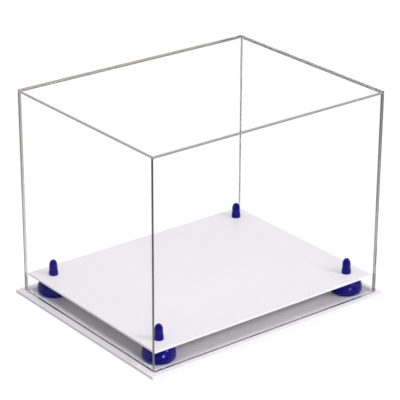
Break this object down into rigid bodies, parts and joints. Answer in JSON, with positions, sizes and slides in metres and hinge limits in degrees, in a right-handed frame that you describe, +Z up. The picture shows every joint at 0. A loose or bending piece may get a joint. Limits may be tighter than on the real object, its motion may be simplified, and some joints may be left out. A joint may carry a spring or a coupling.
{
  "type": "acrylic display case",
  "caption": "Clear acrylic display case with a lift-off five-panel cover, a white base plate and a white display platform on round blue risers.",
  "frame": {"origin": "middle of the base plate's underside, on the surface the case stands on", "axes": "+Z up, +X along the case's long side, front long side at -Y"},
  "size_m": [0.4054, 0.3228, 0.3048],
  "materials": {
    "clear_acrylic": "clear cast acrylic sheet, polished edges",
    "white_acrylic": "opaque white acrylic sheet, glossy",
    "blue_riser": "high-gloss moulded plastic, deep royal blue",
    "zinc_steel": "zinc plated",
    "insert_brass": "turned brass"
  },
  "bodies": {
    "base": {"base_plate": "white_acrylic"},
    "cover": {"cover_top_panel": "clear_acrylic", "cover_front_panel": "clear_acrylic", "cover_back_panel": "clear_acrylic", "cover_left_panel": "clear_acrylic", "cover_right_panel": "clear_acrylic"},
    "riser_platform": {"display_platform": "white_acrylic", "riser_foot_front_left": "blue_riser", "riser_foot_front_right": "blue_riser", "riser_foot_back_left": "blue_riser", "riser_foot_back_right": "blue_riser", "riser_bolt_front_left": "zinc_steel", "riser_bolt_front_right": "zinc_steel", "riser_bolt_back_left": "zinc_steel", "riser_bolt_back_right": "zinc_steel"},
    "insert_front_left": {"cap_insert_front_left": "insert_brass"},
    "cap_front_left": {"riser_cap_front_left": "blue_riser"},
    "insert_front_right": {"cap_insert_front_right": "insert_brass"},
    "cap_front_right": {"riser_cap_front_right": "blue_riser"},
    "insert_back_left": {"cap_insert_back_left": "insert_brass"},
    "cap_back_left": {"riser_cap_back_left": "blue_riser"},
    "insert_back_right": {"cap_insert_back_right": "insert_brass"},
    "cap_back_right": {"riser_cap_back_right": "blue_riser"}
  },
  "joints": [
    {"name": "cover_lift", "type": "slide", "parent": "base", "child": "cover", "axis": [0, 0, 1], "range_m": [0, 0.32]},
    {"name": "platform_lift", "type": "slide", "parent": "base", "child": "riser_platform", "axis": [0, 0, 1], "range_m": [0, 0.1]},
    {"name": "cap_rise_front_left", "type": "slide", "parent": "riser_platform", "child": "insert_front_left", "axis": [0, 0, 1], "range_m": [0, 0.014]},
    {"name": "cap_turn_front_left", "type": "hinge", "parent": "insert_front_left", "child": "cap_front_left", "pos_m": [-0.16417, -0.1229, 0.0323], "axis": [0, 0, 1], "range_deg": [0, 6301]},
    {"name": "cap_rise_front_right", "type": "slide", "parent": "riser_platform", "child": "insert_front_right", "axis": [0, 0, 1], "range_m": [0, 0.014]},
    {"name": "cap_turn_front_right", "type": "hinge", "parent": "insert_front_right", "child": "cap_front_right", "pos_m": [0.16417, -0.1229, 0.0323], "axis": [0, 0, 1], "range_deg": [0, 6301]},
    {"name": "cap_rise_back_left", "type": "slide", "parent": "riser_platform", "child": "insert_back_left", "axis": [0, 0, 1], "range_m": [0, 0.014]},
    {"name": "cap_turn_back_left", "type": "hinge", "parent": "insert_back_left", "child": "cap_back_left", "pos_m": [-0.16417, 0.1229, 0.0323], "axis": [0, 0, 1], "range_deg": [0, 6301]},
    {"name": "cap_rise_back_right", "type": "slide", "parent": "riser_platform", "child": "insert_back_right", "axis": [0, 0, 1], "range_m": [0, 0.014]},
    {"name": "cap_turn_back_right", "type": "hinge", "parent": "insert_back_right", "child": "cap_back_right", "pos_m": [0.16417, 0.1229, 0.0323], "axis": [0, 0, 1], "range_deg": [0, 6301]}
  ],
  "couplings": [
    {"joint": "cap_turn_front_left", "follows": "cap_rise_front_left", "rad_per_m": 7854},
    {"joint": "cap_turn_front_right", "follows": "cap_rise_front_right", "rad_per_m": 7854},
    {"joint": "cap_turn_back_left", "follows": "cap_rise_back_left", "rad_per_m": 7854},
    {"joint": "cap_turn_back_right", "follows": "cap_rise_back_right", "rad_per_m": 7854}
  ]
}
